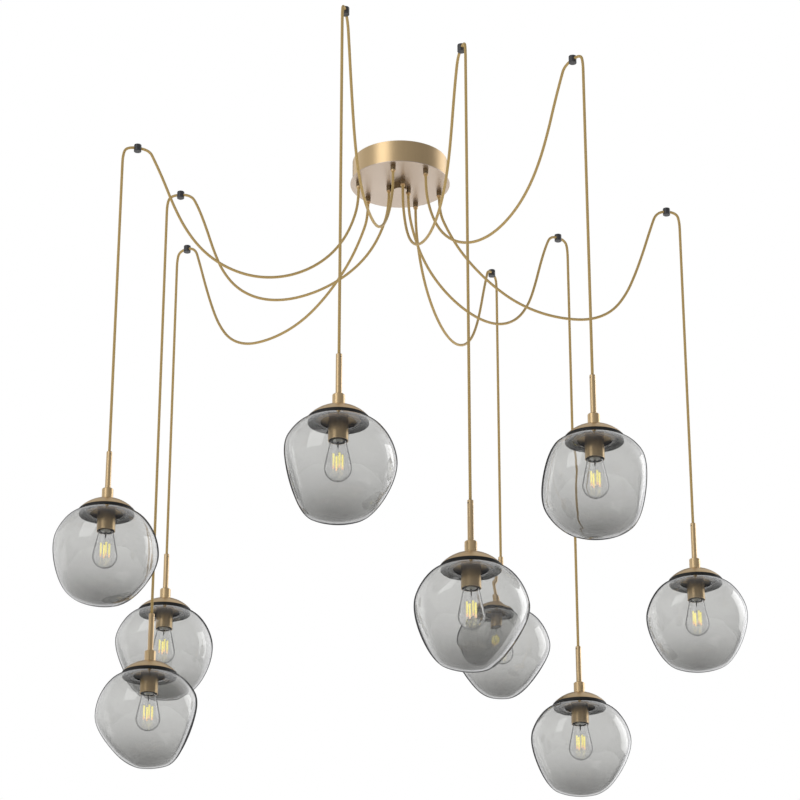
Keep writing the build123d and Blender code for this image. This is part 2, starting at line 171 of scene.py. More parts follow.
def arc(centre, radius, start, end, steps):
    """Points along an arc, angles measured from straight up toward the outside."""
    turn = [start + (end - start) * k / steps for k in range(steps + 1)]
    return [(centre[0] + radius * sin(t), centre[1] + radius * cos(t)) for t in turn]


def turned(outline, segments=64, edge=0.0):
    """Turn an outline of (distance, height) about the upright axis."""
    bm = bmesh.new()
    closed = outline[0] == outline[-1]
    points = outline[:-1] if closed else outline
    verts = [bm.verts.new((r, 0, z)) for r, z in points]
    pairs = list(zip(verts, verts[1:] + verts[:1])) if closed else list(zip(verts, verts[1:]))
    edges = [bm.edges.new(pair) for pair in pairs]
    bmesh.ops.spin(bm, geom=verts + edges, cent=(0, 0, 0), axis=(0, 0, 1), dvec=(0, 0, 0),
                   angle=2 * pi, steps=segments, use_merge=True, use_duplicate=False)
    bmesh.ops.remove_doubles(bm, verts=bm.verts, dist=1e-4)
    bmesh.ops.dissolve_degenerate(bm, edges=bm.edges, dist=1e-5)
    bmesh.ops.recalc_face_normals(bm, faces=bm.faces)
    if edge:
        soften(bm, edge)
    return bm


def soften(bm, width):
    """Break the sharp edges of a turned or extruded solid."""
    limit = radians(35)
    sharp = [e for e in bm.edges if len(e.link_faces) == 2 and e.calc_face_angle(0) > limit]
    bmesh.ops.bevel(bm, geom=sharp, offset=width, offset_type="OFFSET", segments=2,
                    profile=0.5, affect="EDGES", clamp_overlap=True, material=-1)


def join(bm, other, place=Vector((0, 0, 0))):
    """Add a copy of a second bmesh to the first, moved to its place."""
    mesh = bpy.data.meshes.new("part")
    other.to_mesh(mesh)
    mesh.transform(Matrix.Translation(place))
    bm.from_mesh(mesh)
    bpy.data.meshes.remove(mesh)


def piece(name, bm, body, finish, nodes, place=Vector((0, 0, 0)), sharp=12):
    """Make a finished object of a bmesh in millimetres, sharp where faces meet at a wider angle."""
    mesh = bpy.data.meshes.new(name)
    bm.to_mesh(mesh)
    bm.free()
    mesh.transform(Matrix.Scale(MM, 4) @ Matrix.Translation(place))
    mesh.shade_smooth()
    mesh.set_sharp_from_angle(angle=radians(sharp))
    obj = bpy.data.objects.new(name, mesh)
    bpy.context.scene.collection.objects.link(obj)
    obj.data.materials.append(finish)
    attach(obj, body)
    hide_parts(*nodes)
    return obj


# ------------------------------------------------------------ material helpers


class Value:
    """A socket that plain arithmetic can act on."""

    def __init__(self, graph, socket):
        self.graph = graph
        self.socket = socket

    def __add__(self, other):
        return self.graph.maths("ADD", self, other)

    __radd__ = __add__

    def __sub__(self, other):
        return self.graph.maths("SUBTRACT", self, other)

    def __rsub__(self, other):
        return self.graph.maths("SUBTRACT", other, self)

    def __mul__(self, other):
        return self.graph.maths("MULTIPLY", self, other)

    __rmul__ = __mul__


class Graph:
    """The nodes of a material or of the surroundings."""

    def __init__(self, owner):
        owner.use_nodes = True
        self.tree = owner.node_tree
        self.tree.nodes.clear()

    def node(self, kind, settings=None, inputs=None, output=0):
        """Add a node, set it up, then fill or link its sockets."""
        node = self.tree.nodes.new(kind)
        for key, value in (settings or {}).items():
            if key == "stops":
                ramp = node.color_ramp.elements
                while len(ramp) > 1:
                    ramp.remove(ramp[0])
                ramp[0].position, ramp[0].color = value[0]
                for position, colour in value[1:]:
                    ramp.new(position).color = colour
            else:
                setattr(node, key, value)
        for key, value in (inputs or {}).items():
            if isinstance(value, Value):
                self.tree.links.new(value.socket, node.inputs[key])
            else:
                node.inputs[key].default_value = value
        return Value(self, node.outputs[output]) if len(node.outputs) else None

    def maths(self, operation, *values):
        """One Math node on values or numbers."""
        return self.node("ShaderNodeMath", {"operation": operation}, dict(enumerate(values)))

    def share(self, value, start, end, curve="LINEAR"):
        """How far a value has come from start to end, from nought to one."""
        return self.node("ShaderNodeMapRange", {"interpolation_type": curve, "clamp": True},
                         {"Value": value, "From Min": start, "From Max": end})


class Finish(Graph):
    """One material, built node by node."""

    def __init__(self, name):
        self.material = bpy.data.materials.new(name)
        super().__init__(self.material)

    def coordinates(self, scale=(1, 1, 1)):
        """Object coordinates through a Mapping node."""
        source = self.node("ShaderNodeTexCoord", output="Object")
        return self.node("ShaderNodeMapping", inputs={"Vector": source, "Scale": scale})

    def grain(self, scale, vector, detail=2.0, rough=0.5):
        """Noise from 0 to 1."""
        return self.node("ShaderNodeTexNoise", {"noise_dimensions": "3D"},
                         {"Vector": vector, "Scale": scale, "Detail": detail, "Roughness": rough})

    def blend(self, factor, first, second):
        """Mix two colours."""
        return self.node("ShaderNodeMix", {"data_type": "RGBA"},
                         {"Factor": factor, 6: first, 7: second}, output=2)

    def edge(self, start, end):
        """Nought where a surface is faced, one where it turns away; the mask of the painted edge shade on
        the glass.
        """
        facing = self.node("ShaderNodeLayerWeight", inputs={"Blend": 0.5}, output=1)
        return self.share(facing, start, end, "SMOOTHSTEP")

    def bump(self, height, strength, distance):
        """A normal raised by a height."""
        return self.node("ShaderNodeBump", inputs={"Height": height, "Strength": strength,
                                                   "Distance": distance})

    def surface(self, **sockets):
        """Principled surface, its sockets named with underscores for spaces."""
        inputs = {key.replace("_", " "): value for key, value in sockets.items()}
        shader = self.node("ShaderNodeBsdfPrincipled", inputs=inputs)
        self.node("ShaderNodeOutputMaterial", inputs={"Surface": shader})
        return self.material


def shade(colour, amount):
    """A colour made darker or lighter, alpha kept at one."""
    return (colour[0] * amount, colour[1] * amount, colour[2] * amount, 1)


def satin_metal(name, colour, roughness, lines, bump=0.15):
    """Brushed plating: fine lines across `lines`, slow colour drift, soft wear."""
    finish = Finish(name)
    fine = finish.grain(1.0, finish.coordinates(scale=lines), 3.0, 0.6)
    slow = finish.grain(14.0, finish.coordinates(), 2.0)
    tone = finish.blend(fine * 0.5 + slow * 0.5, shade(colour, 0.9), shade(colour, 1.08))
    return finish.surface(
        Base_Color=tone,
        Metallic=1.0,
        Roughness=roughness - 0.05 + fine * 0.1,
        Normal=finish.bump(fine, bump, 0.0001),
    )


def painted(name, colour, roughness, metallic=0.0):
    """Smooth satin coat with a slight orange-peel."""
    finish = Finish(name)
    peel = finish.grain(900.0, finish.coordinates(), 2.0)
    cloud = finish.grain(25.0, finish.coordinates(), 2.0)
    return finish.surface(
        Base_Color=finish.blend(cloud, shade(colour, 0.85), shade(colour, 1.15)),
        Metallic=metallic,
        Roughness=roughness - 0.04 + peel * 0.08,
        Normal=finish.bump(peel, 0.12, 0.0002),
    )


def braided_fabric(name, light, dark):
    """Fine diagonal braid, read along the cord and round it."""
    finish = Finish(name)
    uv = finish.node("ShaderNodeTexCoord", output="UV")
    turn = 2 * pi
    along = finish.node("ShaderNodeSeparateXYZ", inputs={0: uv}, output=0) * (braid_rounds * turn)
    around = finish.node("ShaderNodeSeparateXYZ", inputs={0: uv}, output=1) * (braid_threads * turn)
    weave = finish.maths("SINE", along + around) * finish.maths("SINE", along - around) * 0.5 + 0.5
    fuzz = finish.grain(1400.0, finish.coordinates(), 2.0)
    tone = finish.blend(weave * 0.8 + fuzz * 0.2, dark, light)
    return finish.surface(
        Base_Color=tone,
        Roughness=0.62 + fuzz * 0.15,
        Sheen_Weight=0.1,
        Sheen_Roughness=0.4,
        Normal=finish.bump(weave + fuzz * 0.3, 0.5, 0.0003),
    )


def smoke_glass(name, clear, deep):
    """Grey glass, darker toward the bottom of the ball, with painted shade where it turns away at its edge.
    """
    finish = Finish(name)
    depth = finish.node("ShaderNodeAttribute", {"attribute_name": "depth"}, output=2)
    tint = finish.blend(depth, clear, deep)
    return finish.surface(
        # Painted shade: toward the ball's edge the colour is blended to dark grey where the surface turns
        # away.
        Base_Color=finish.blend(finish.edge(0.74, 0.92) * 0.7, tint, (0.16, 0.16, 0.155, 1)),
        Roughness=0.0,
        IOR=1.5,
        Transmission_Weight=1.0,
    )


def clear_glass(name, colour):
    """Thin clear glass, with painted shade turning it grey at its edge."""
    finish = Finish(name)
    ripple = finish.grain(60.0, finish.coordinates(), 1.0)
    return finish.surface(
        # Painted shade: the colour darkens to near black where the surface turns away at the bulb's
        # outline.
        Base_Color=finish.blend(finish.edge(0.45, 0.85), colour, (0.12, 0.12, 0.12, 1)),
        Roughness=0.0,
        IOR=1.47,
        Transmission_Weight=1.0,
        Normal=finish.bump(ripple, 0.05, 0.001),
    )


def glowing_filament(name, colour, ends):
    """Yellow coating that turns pink toward the lower end."""
    finish = Finish(name)
    low = finish.node("ShaderNodeAttribute", {"attribute_name": "low"}, output=2)
    tone = finish.blend(low, colour, ends)
    return finish.surface(Base_Color=tone, Roughness=0.5, Emission_Color=tone, Emission_Strength=1.1)


# -------------------------------------------------------------- user settings


class MetalSettings(bpy.types.PropertyGroup):
    """Finish of the plated parts."""

    brass: FloatVectorProperty(name="Brass", description="Colour of the brushed brass",
                               subtype="COLOR", size=3, default=(0.72, 0.53, 0.30))
    plate: FloatVectorProperty(name="Plate", description="Colour of the canopy's underside",
                               subtype="COLOR", size=3, default=(0.66, 0.55, 0.45))
    bronze: FloatVectorProperty(name="Glands", description="Colour of the cord glands",
                                subtype="COLOR", size=3, default=(0.20, 0.15, 0.09))
    roughness: FloatProperty(name="Roughness", description="How dull the brushed brass is",
                             default=0.34, min=0.05, max=0.9)


class CordSettings(bpy.types.PropertyGroup):
    """Finish of the braided cords."""

    light: FloatVectorProperty(name="Light thread", description="Colour of the raised threads",
                               subtype="COLOR", size=3, default=(0.68, 0.48, 0.19))
    dark: FloatVectorProperty(name="Dark thread", description="Colour between the threads",
                              subtype="COLOR", size=3, default=(0.46, 0.31, 0.10))


class GlassSettings(bpy.types.PropertyGroup):
    """Shape and tint of the blown glass."""

    clear: FloatVectorProperty(name="Upper tint", description="Tint of the glass near the neck",
                               subtype="COLOR", size=3, default=(0.765, 0.765, 0.755))
    deep: FloatVectorProperty(name="Lower tint", description="Tint of the glass at the bottom",
                              subtype="COLOR", size=3, default=(0.235, 0.235, 0.225))
    blend: FloatProperty(name="Dent blend",
                         description="How softly a pressed side meets the ball, in millimetres",
                         default=10.0, min=1.0, max=50.0)
    ripple: FloatProperty(name="Ripple",
                          description="How uneven the inside of the wall is, in millimetres",
                          default=0.12, min=0.0, max=1.5)
    segments: IntProperty(name="Segments", description="Faces round the ball", default=128, min=32, max=256)


class StageSettings(bpy.types.PropertyGroup):
    """Camera and floor."""

    place: FloatVectorProperty(name="Camera", description="Where the camera stands",
                               subtype="TRANSLATION", unit="LENGTH", size=3,
                               default=(0.0057, -5.8024, -3.1231))
    lens: FloatProperty(name="Lens", description="Focal length", default=124.48, min=20, max=300)
    pitch: FloatProperty(name="Pitch", description="How far the camera looks up", subtype="ANGLE",
                         default=0.40838)
    floor: FloatProperty(name="Floor", description="Height of the floor", subtype="DISTANCE",
                         unit="LENGTH", default=-3.45)


def rgba(colour):
    return (colour[0], colour[1], colour[2], 1)


made_finishes = {}


def finishes():
    """The materials, made once and kept by name."""
    if made_finishes:
        return made_finishes
    scene = bpy.context.scene
    metal, cords, glass = scene.pendant_metal, scene.pendant_cords, scene.pendant_glass
    brass, dull = metal.brass, metal.roughness
    made_finishes.update(
        brushed_brass=satin_metal("lengthwise brass", brass, dull, (700, 700, 4)),
        turned_brass=satin_metal("turned brass", brass, dull, (40, 40, 1600)),
        satin_plate=satin_metal("satin plating", metal.plate, 0.36, (30, 900, 30), 0.05),
        dark_bronze=satin_metal("bronze glands", metal.bronze, 0.28, (60, 60, 1200)),
        zinc_steel=satin_metal("zinc plating", (0.62, 0.62, 0.63), 0.42, (30, 700, 700)),
        nickel_base=satin_metal("nickel plating", (0.72, 0.70, 0.66), 0.22, (60, 60, 1400)),
        black_paint=painted("black enamel", (0.045, 0.045, 0.048), 0.36),
        black_rubber=painted("black rubber", (0.012, 0.012, 0.012), 0.6),
        porcelain=painted("glazed porcelain", (0.72, 0.71, 0.69), 0.2),
        white_flare=painted("white flare", (0.86, 0.86, 0.85), 0.3),
        lead_wire=painted("lead wires", (0.10, 0.09, 0.08), 0.4, 1.0),
        gold_fabric=braided_fabric("gold braid", rgba(cords.light), rgba(cords.dark)),
        smoke_glass=smoke_glass("blown smoke glass", rgba(glass.clear), rgba(glass.deep)),
        clear_glass=clear_glass("bulb glass", (0.985, 0.985, 0.985, 1)),
        filament_coat=glowing_filament("filament coating", (1.0, 0.90, 0.34, 1), (1.0, 0.66, 0.48, 1)),
    )
    return made_finishes


# ------------------------------------------------------------------ operators


class PENDANT_OT_camera(bpy.types.Operator):
    """Set the camera that the object is seen from"""

    bl_idname = "pendant.camera"
    bl_label = "Camera"

    def execute(self, context):
        stage = context.scene.pendant_stage
        data = bpy.data.cameras.new("camera")
        data.lens = stage.lens
        data.sensor_width = 36.0
        data.clip_end = 60.0
        camera = bpy.data.objects.new("camera", data)
        context.scene.collection.objects.link(camera)
        camera.location = stage.place
        camera.rotation_euler = (pi / 2 + stage.pitch, 0, 0.001)
        context.scene.camera = camera
        return {"FINISHED"}


class PENDANT_OT_cords(bpy.types.Operator):
    """Hang the swagged cords and the drop cords"""

    bl_idname = "pendant.cords"
    bl_label = "Cords"

    def lay(self, name, body, points, finish, length, start, node):
        """One open spline through a cord's route."""
        data = bpy.data.curves.new(name, "CURVE")
        data.dimensions = "3D"
        data.bevel_depth = cord_diameter / 2 * MM
        data.bevel_resolution = 4
        data.resolution_u = 10
        data.use_fill_caps = True
        spline = data.splines.new("NURBS")
        spline.points.add(len(points) - 1)
        for point, where in zip(spline.points, points):
            point.co = (where.x * MM, where.y * MM, where.z * MM, 1)
        spline.order_u = 3
        spline.use_endpoint_u = True
        obj = bpy.data.objects.new(name, data)
        bpy.context.scene.collection.objects.link(obj)
        obj.data.materials.append(finish)
        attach(obj, body)
        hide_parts(node)
        tuple(start * MM)

    def execute(self, context):
        fabric = finishes()["gold_fabric"]
        for letter, (_, drop, rim, ring, route, _) in lamps.items():
            hook = drop - drop_offset
            start = route[0][0]
            stretch = (hook + hook_diameter / 2 - start) / (route[-1][0] - start)
            along = [(start + (r - start) * stretch, z) for r, z in route]
            along[0] = (ring, -canopy_depth - gland_height + mouth_depth)
            mouth = toward(letter, [(ring, -canopy_depth - gland_height)])[0]
            self.lay("swag_" + letter, "canopy", toward(letter, along), fabric,
                     swag_lengths[letter], mouth, "swag_cord_" + letter)
            fall = [
                (hook + hook_diameter / 2, -hook_cord_depth),
                (hook + 27, -hook_cord_depth),
                (drop, -30),
                (drop, -70),
                (drop, rim + stem_top - cord_socket_depth),
            ]
            points = toward(letter, fall)
            self.lay("drop_" + letter, "drop_" + letter, points, fabric, drop_lengths[letter],
                     points[0], "drop_cord_" + letter)
        return {"FINISHED"}


class PENDANT_OT_canopy(bpy.types.Operator):
    """Build the canopy with its knob, bracket and cord glands"""

    bl_idname = "pendant.canopy"
    bl_label = "Canopy"

    def execute(self, context):
        made = finishes()
        low = -canopy_depth
        plate_top, inner = low + plate_thickness, drum_radius - drum_wall
        drum = turned([(inner, 0), (drum_radius, 0), (drum_radius, plate_top), (inner, plate_top),
                       (inner, 0)], 160, 0.25)
        piece("canopy_side", drum, "canopy", made["brushed_brass"], ["canopy_drum"])
        disc = turned([(0, plate_top), (plate_radius, plate_top), (plate_radius, low), (0, low)], 160, 0.4)
        piece("canopy_disc", disc, "canopy", made["satin_plate"], ["canopy_plate"])
        knob = turned([(0, 0), (stud_radius, 0), (stud_radius, low), (knob_radius, low),
                       (knob_radius, knob_bottom), (0, knob_bottom)], 96, 0.8)
        piece("centre_knob", knob, "canopy", made["dark_bronze"], ["canopy_knob"])
        face = turned([(0, knob_bottom), (knob_radius - 0.6, knob_bottom),
                       (knob_radius - 0.9, knob_face), (0, knob_face)], 96)
        piece("knob_face", face, "canopy", made["satin_plate"], ["canopy_knob"])
        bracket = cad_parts["mounting_bracket"].data
        bracket.materials.clear()
        bracket.materials.append(made["zinc_steel"])

        mouth = low - gland_height
        half, lip, ring_top = gland_diameter / 2, gland_diameter / 2 - 0.9, mouth + mouth_ring
        body = turned([
            (0, gland_top), (gland_thread, gland_top), (gland_thread, low), (half, low),
            (half, mouth + 9.5), (half - 0.7, mouth + 9), (half - 0.7, mouth + 8),
            (half, mouth + 7.5), (half, mouth + 5.5), (lip, ring_top), (cord_bore, ring_top),
            (cord_bore, mouth + mouth_depth), (0, mouth + mouth_depth),
        ], 40, 0.3)
        # Painted highlight: each gland's mouth is a ring of lighter turned brass, standing in for the
        # bright crescent of light at its lower rim.
        ring = turned([(cord_bore, ring_top), (lip, ring_top), (lip, mouth), (cord_bore, mouth),
                       (cord_bore, ring_top)], 40, 0.3)
        nut = bmesh.new()
        bmesh.ops.create_cone(nut, cap_ends=True, segments=6, radius1=nut_radius,
                              radius2=nut_radius, depth=nut_height)
        bmesh.ops.translate(nut, vec=(0, 0, nut_middle), verts=nut.verts)
        soften(nut, 0.3)
        glands, mouth_highlight_rings = bmesh.new(), bmesh.new()
        for letter in lamps:
            join(glands, body, gland_place(letter))
            join(glands, nut, gland_place(letter))
            join(mouth_highlight_rings, ring, gland_place(letter))
        body.free()
        nut.free()
        ring.free()
        piece("gland_set", glands, "canopy", made["dark_bronze"], ["cord_glands"])
        piece("gland_mouth_highlights", mouth_highlight_rings, "canopy", made["turned_brass"], ["cord_glands"])
        return {"FINISHED"}


class PENDANT_OT_hooks(bpy.types.Operator):
    """Build the ceiling hooks"""

    bl_idname = "pendant.hooks"
    bl_label = "Ceiling hooks"

    def execute(self, context):
        half = hook_diameter / 2
        body = turned([(0, -hook_hole_depth), (hook_hole, -hook_hole_depth), (hook_hole, 0),
                       (half, 0), (half, -hook_height), (0, -hook_height)], 48, 0.7)
        hooks = bmesh.new()
        for letter in lamps:
            join(hooks, body, hook_place(letter))
        body.free()
        piece("hook_set", hooks, "canopy", finishes()["black_paint"], ["ceiling_hooks"])
        return {"FINISHED"}


class PENDANT_OT_stems(bpy.types.Operator):
    """Build the stems, collars and set screws"""

    bl_idname = "pendant.stems"
    bl_label = "Stems"

    def execute(self, context):
        made = finishes()
        foot = collar_top - collar_socket_depth
        floor = stem_top - cord_socket_depth
        half, wide, neck = stem_diameter / 2, collar_diameter / 2, nipple_diameter / 2
        for letter in lamps:
            body, node, place = "lamp_" + letter, ["cap_" + letter], lamp_place(letter)
            tube = turned([
                (0, foot), (half, foot), (half, stem_top - 1), (half - 0.6, stem_top),
                (cord_bore, stem_top), (cord_bore, floor), (0, floor),
            ], 48, 0.25)
            piece("tube_" + letter, tube, body, made["brushed_brass"], node, place)
            collar = turned([
                (0, foot), (half, foot), (half, collar_top), (wide - 1.6, collar_top),
                (wide, collar_top - 1.6), (wide, collar_seat), (neck, collar_seat),
                (neck, collar_seat - nipple_reach), (0, collar_seat - nipple_reach),
            ], 64, 0.3)
            piece("collar_" + letter, collar, body, made["turned_brass"], node, place)
            screw = bmesh.new()
            bmesh.ops.create_cone(screw, cap_ends=True, segments=16, radius1=1.6, radius2=1.3,
                                  depth=1.2)
            side = radians(-50 if outward(letter).x < 0 else 220)
            turn = Vector((0, 0, 1)).rotation_difference(Vector((cos(side), sin(side), 0)))
            spot = Vector((cos(side) * half, sin(side) * half, stem_top - 7))
            stance = Matrix.Translation(spot) @ turn.to_matrix().to_4x4()
            bmesh.ops.transform(screw, matrix=stance, verts=screw.verts)
            piece("set_screw_" + letter, screw, body, made["black_paint"], node, place)
        return {"FINISHED"}


class PENDANT_OT_caps(bpy.types.Operator):
    """Build the domed caps, gaskets, socket cups and lampholders"""

    bl_idname = "pendant.caps"
    bl_label = "Caps"

    def execute(self, context):
        made = finishes()
        inner = cap_sphere - cap_wall
        neck, wide, edge = nipple_diameter / 2, collar_diameter / 2, cap_diameter / 2
        rim_outer = asin(edge / cap_sphere)
        top_outer = asin(wide / cap_sphere)
        rim_inner_radius = sqrt(inner**2 - (cap_centre - cap_rim) ** 2)
        rim_inner = asin(rim_inner_radius / inner)
        top_inner = asin(wide / inner)
        outer_arc = arc((0, cap_centre), cap_sphere, top_outer, rim_outer, 14)
        inner_arc = arc((0, cap_centre), inner, rim_inner, top_inner, 14)
        seat_below = inner_arc[-1][1]
        shell = outer_arc + inner_arc + [(neck, seat_below), (neck, collar_seat), outer_arc[0]]

        centre = shoulder_centre()
        lip = gasket_inner / 2
        seat = arc(centre, shoulder_radius, asin((edge - centre[0]) / shoulder_radius),
                   asin((lip - centre[0]) / shoulder_radius), 6)
        ring = seat + [(lip, seat[-1][1] + gasket_thickness), (rim_inner_radius - 0.3, cap_rim),
                       (edge, cap_rim), seat[0]]

        half = cup_diameter / 2
        bore = half - cup_wall
        cup = [
            (neck, seat_below), (wide - 1, seat_below), (wide - 1, seat_below - 3),
            (half, seat_below - 8), (half, cup_bottom), (bore, cup_bottom),
            (bore, seat_below - 8.5), (neck, seat_below - 8.5), (neck, seat_below),
        ]
        # Painted shade: a black ring fills the mouth of the socket cup, where its inside lies in shadow.
        mouth = [(bore, cup_bottom), (bore, cup_bottom + 6), (bore - 2.6, cup_bottom + 6),
                 (bore - 2.6, cup_bottom), (bore, cup_bottom)]
        holder_top, sleeve = collar_seat - nipple_reach, holder_diameter / 2
        holder = [(0, holder_top), (sleeve, holder_top), (sleeve, holder_bottom),
                  (base_diameter / 2, holder_bottom)] + base_end
        parts = (
            ("dome_", shell, 96, 0.3, "turned_brass", "brushed_brass", "cap_"),
            ("gasket_", ring, 96, 0.3, "black_rubber", "black_paint", "shade_"),
            ("cup_", cup, 72, 0.25, "brushed_brass", "brushed_brass", "socket_"),
            ("holder_", holder, 48, 0.3, "porcelain", "black_paint", "socket_"),
            # The mouth ring's black is painted shade in the cup's mouth.
            ("mouth_ring_", mouth, 72, 0.2, "black_rubber", "black_paint", "socket_"),
        )
        for letter in lamps:
            for name, outline, segments, bevel, finish, slot, node in parts:
                piece(name + letter, turned(outline, segments, bevel), "lamp_" + letter,
                      made[finish], [node + letter], lamp_place(letter))
        return {"FINISHED"}


def shoulder_centre():
    """Centre of the arc that flattens the top of the glass."""
    reach = glass_radius - shoulder_radius
    return (reach * sin(shoulder_angle), glass_centre + reach * cos(shoulder_angle))


class PENDANT_OT_shades(bpy.types.Operator):
    """Blow the glass balls and press their sides"""

    bl_idname = "pendant.shades"
    bl_label = "Glass shades"

    def execute(self, context):
        settings = context.scene.pendant_glass
        glass = finishes()["smoke_glass"]
        centre = shoulder_centre()
        start = asin((glass_hole - centre[0]) / shoulder_radius)
        outline = arc(centre, shoulder_radius, start, shoulder_angle, 14)
        outline += arc((0, glass_centre), glass_radius, shoulder_angle, pi, 56)[1:]
        middle = Vector((0, 0, glass_centre))
        for letter, lamp in lamps.items():
            ball = turned(outline, settings.segments)
            press(ball, middle, lamp[5], settings.blend)
            wall(ball, middle, letter, settings.ripple)
            piece("shade_glass_" + letter, ball, "lamp_" + letter, glass,
                  ["shade_" + letter], lamp_place(letter), sharp=60)
        return {"FINISHED"}


def press(ball, middle, presses, blend):
    """Push each pressed side in to a face flatter than the ball, with a soft edge."""
    for azimuth, elevation, depth in presses:
        level = cos(radians(elevation))
        out = Vector((level * cos(radians(azimuth)), level * sin(radians(azimuth)),
                      sin(radians(elevation))))
        back = depth - press_curve
        for vert in ball.verts:
            arm = vert.co - middle
            reach = arm.length
            lean = arm.dot(out) / reach
            if lean < 0.3:
                continue
            across = back * back * (1 - lean * lean)
            flat = glass_radius * (back * lean + sqrt(press_curve**2 - across))
            share = max(0.0, min(1.0, 0.5 + 0.5 * (flat - reach) / blend))
            soft = flat + (reach - flat) * share - blend * share * (1 - share)
            vert.co = middle + arm * (min(soft, reach) / reach)


def wall(ball, middle, letter, ripple):
    """Give the ball its wall, uneven on the inside, and note how low each point lies."""
    outer = set(ball.verts)
    bmesh.ops.recalc_face_normals(ball, faces=ball.faces)
    bmesh.ops.solidify(ball, geom=ball.faces[:], thickness=glass_wall)
    seed = Vector((ord(letter) * 7.3, 0, 0))
    depth = ball.verts.layers.float.new("depth")
    for vert in ball.verts:
        arm = vert.co - middle
        low = max(0.0, -arm.z / arm.length - foot_start) / (1 - foot_start)
        if vert not in outer and arm.z < neck_height:
            foot = glass_foot * low * low * (3 - 2 * low)
            inward = ripple * noise.noise(arm / 60 + seed) - foot
            vert.co = middle + arm * (1 + inward / arm.length)
        share = max(0.0, min(1.0, 0.5 - arm.z / (2 * glass_radius)))
        vert[depth] = share**tint_curve


class PENDANT_OT_bulbs(bpy.types.Operator):
    """Build the filament bulbs"""

    bl_idname = "pendant.bulbs"
    bl_label = "Bulbs"

    def side(self, inset):
        """One side of the bulb's glass from its neck to its tip."""
        ball, neck = bulb_diameter / 2 - inset, bulb_neck / 2 - inset
        centre = bulb_tip + bulb_diameter / 2
        touch = (ball * cos(bulb_taper), centre + ball * sin(bulb_taper))
        shoulder = (neck, touch[1] + (touch[0] - neck) / tan(bulb_taper))
        points = [(neck, base_bottom), shoulder]
        points += arc((0, centre), ball, pi / 2 - bulb_taper, pi, 20)
        if inset:
            return points
        nub = [(2.4, bulb_tip + 0.1), (1.9, bulb_tip - 0.7), (1.0, bulb_tip - 1.4), (0, bulb_tip - 1.6)]
        return points[:-1] + nub

    def rod(self, radius, start, end, sides):
        """A straight rod between two points."""
        start, end = Vector(start), Vector(end)
        rod = bmesh.new()
        bmesh.ops.create_cone(rod, cap_ends=True, segments=sides, radius1=radius, radius2=radius,
                              depth=(end - start).length)
        turn = Vector((0, 0, 1)).rotation_difference(end - start).to_matrix().to_4x4()
        stance = Matrix.Translation((start + end) / 2) @ turn
        bmesh.ops.transform(rod, matrix=stance, verts=rod.verts)
        return rod

    def execute(self, context):
        made = finishes()
        outer, inner = self.side(0), self.side(bulb_wall)
        glass_outline = outer + inner[::-1] + [outer[0]]
        base_outline = [(0, base_bottom), (base_diameter / 2, base_bottom)] + base_end
        flare_outline = [(0, -43.4), (6, -43.4), (11.2, -44.6), (6, -45.8), (2.2, -47.5), (0, -47.5)]
        stub_outline = [(0, -47), (2.0, -47), (1.3, -53), (1.5, -56), (0.5, -62), (0, -62)]
        for letter in lamps:
            wires, coats = self.cage()
            parts = (
                ("bulb_glass_", turned(glass_outline, 64), "clear_glass", "clear_glass", 60),
                ("bulb_base_", turned(base_outline, 40, 0.3), "nickel_base", "zinc_steel", 12),
                ("flare_", turned(flare_outline, 36), "white_flare", "clear_glass", 12),
                ("stub_", turned(stub_outline, 32), "lead_wire", "zinc_steel", 12),
                ("filament_wires_", wires, "clear_glass", "zinc_steel", 70),
                ("filaments_", coats, "filament_coat", "clear_glass", 50),
            )
            for name, mesh, finish, slot, sharp in parts:
                piece(name + letter, mesh, "lamp_" + letter, made[finish],
                      ["bulb_" + letter], lamp_place(letter), sharp)
        return {"FINISHED"}

    def cage(self):
        """The clear rod with its spokes, and the four coated filaments round it."""
        wires = self.rod(0.9, (0, 0, -62), (0, 0, filament_foot), 10)
        coats = bmesh.new()
        for k in range(4):
            turn = radians(filament_turn + 90 * k)
            spot = Vector((filament_reach * cos(turn), filament_reach * sin(turn), 0))
            for height in (filament_top + 0.5, filament_foot + 0.5):
                spoke = self.rod(0.35, (0, 0, height), spot + Vector((0, 0, height)), 6)
                join(wires, spoke)
                spoke.free()
            foot, top = Vector((0, 0, filament_foot + 1)), Vector((0, 0, filament_top))
            coat = self.rod(2.0, spot + foot, spot + top, 12)
            long = [e for e in coat.edges if e.calc_length() > 20]
            bmesh.ops.subdivide_edges(coat, edges=long, cuts=8)
            join(coats, coat)
            coat.free()
        low = coats.verts.layers.float.new("low")
        for vert in coats.verts:
            vert[low] = max(0.0, min(1.0, (filament_foot + 9 - vert.co.z) / 6))
        return wires, coats


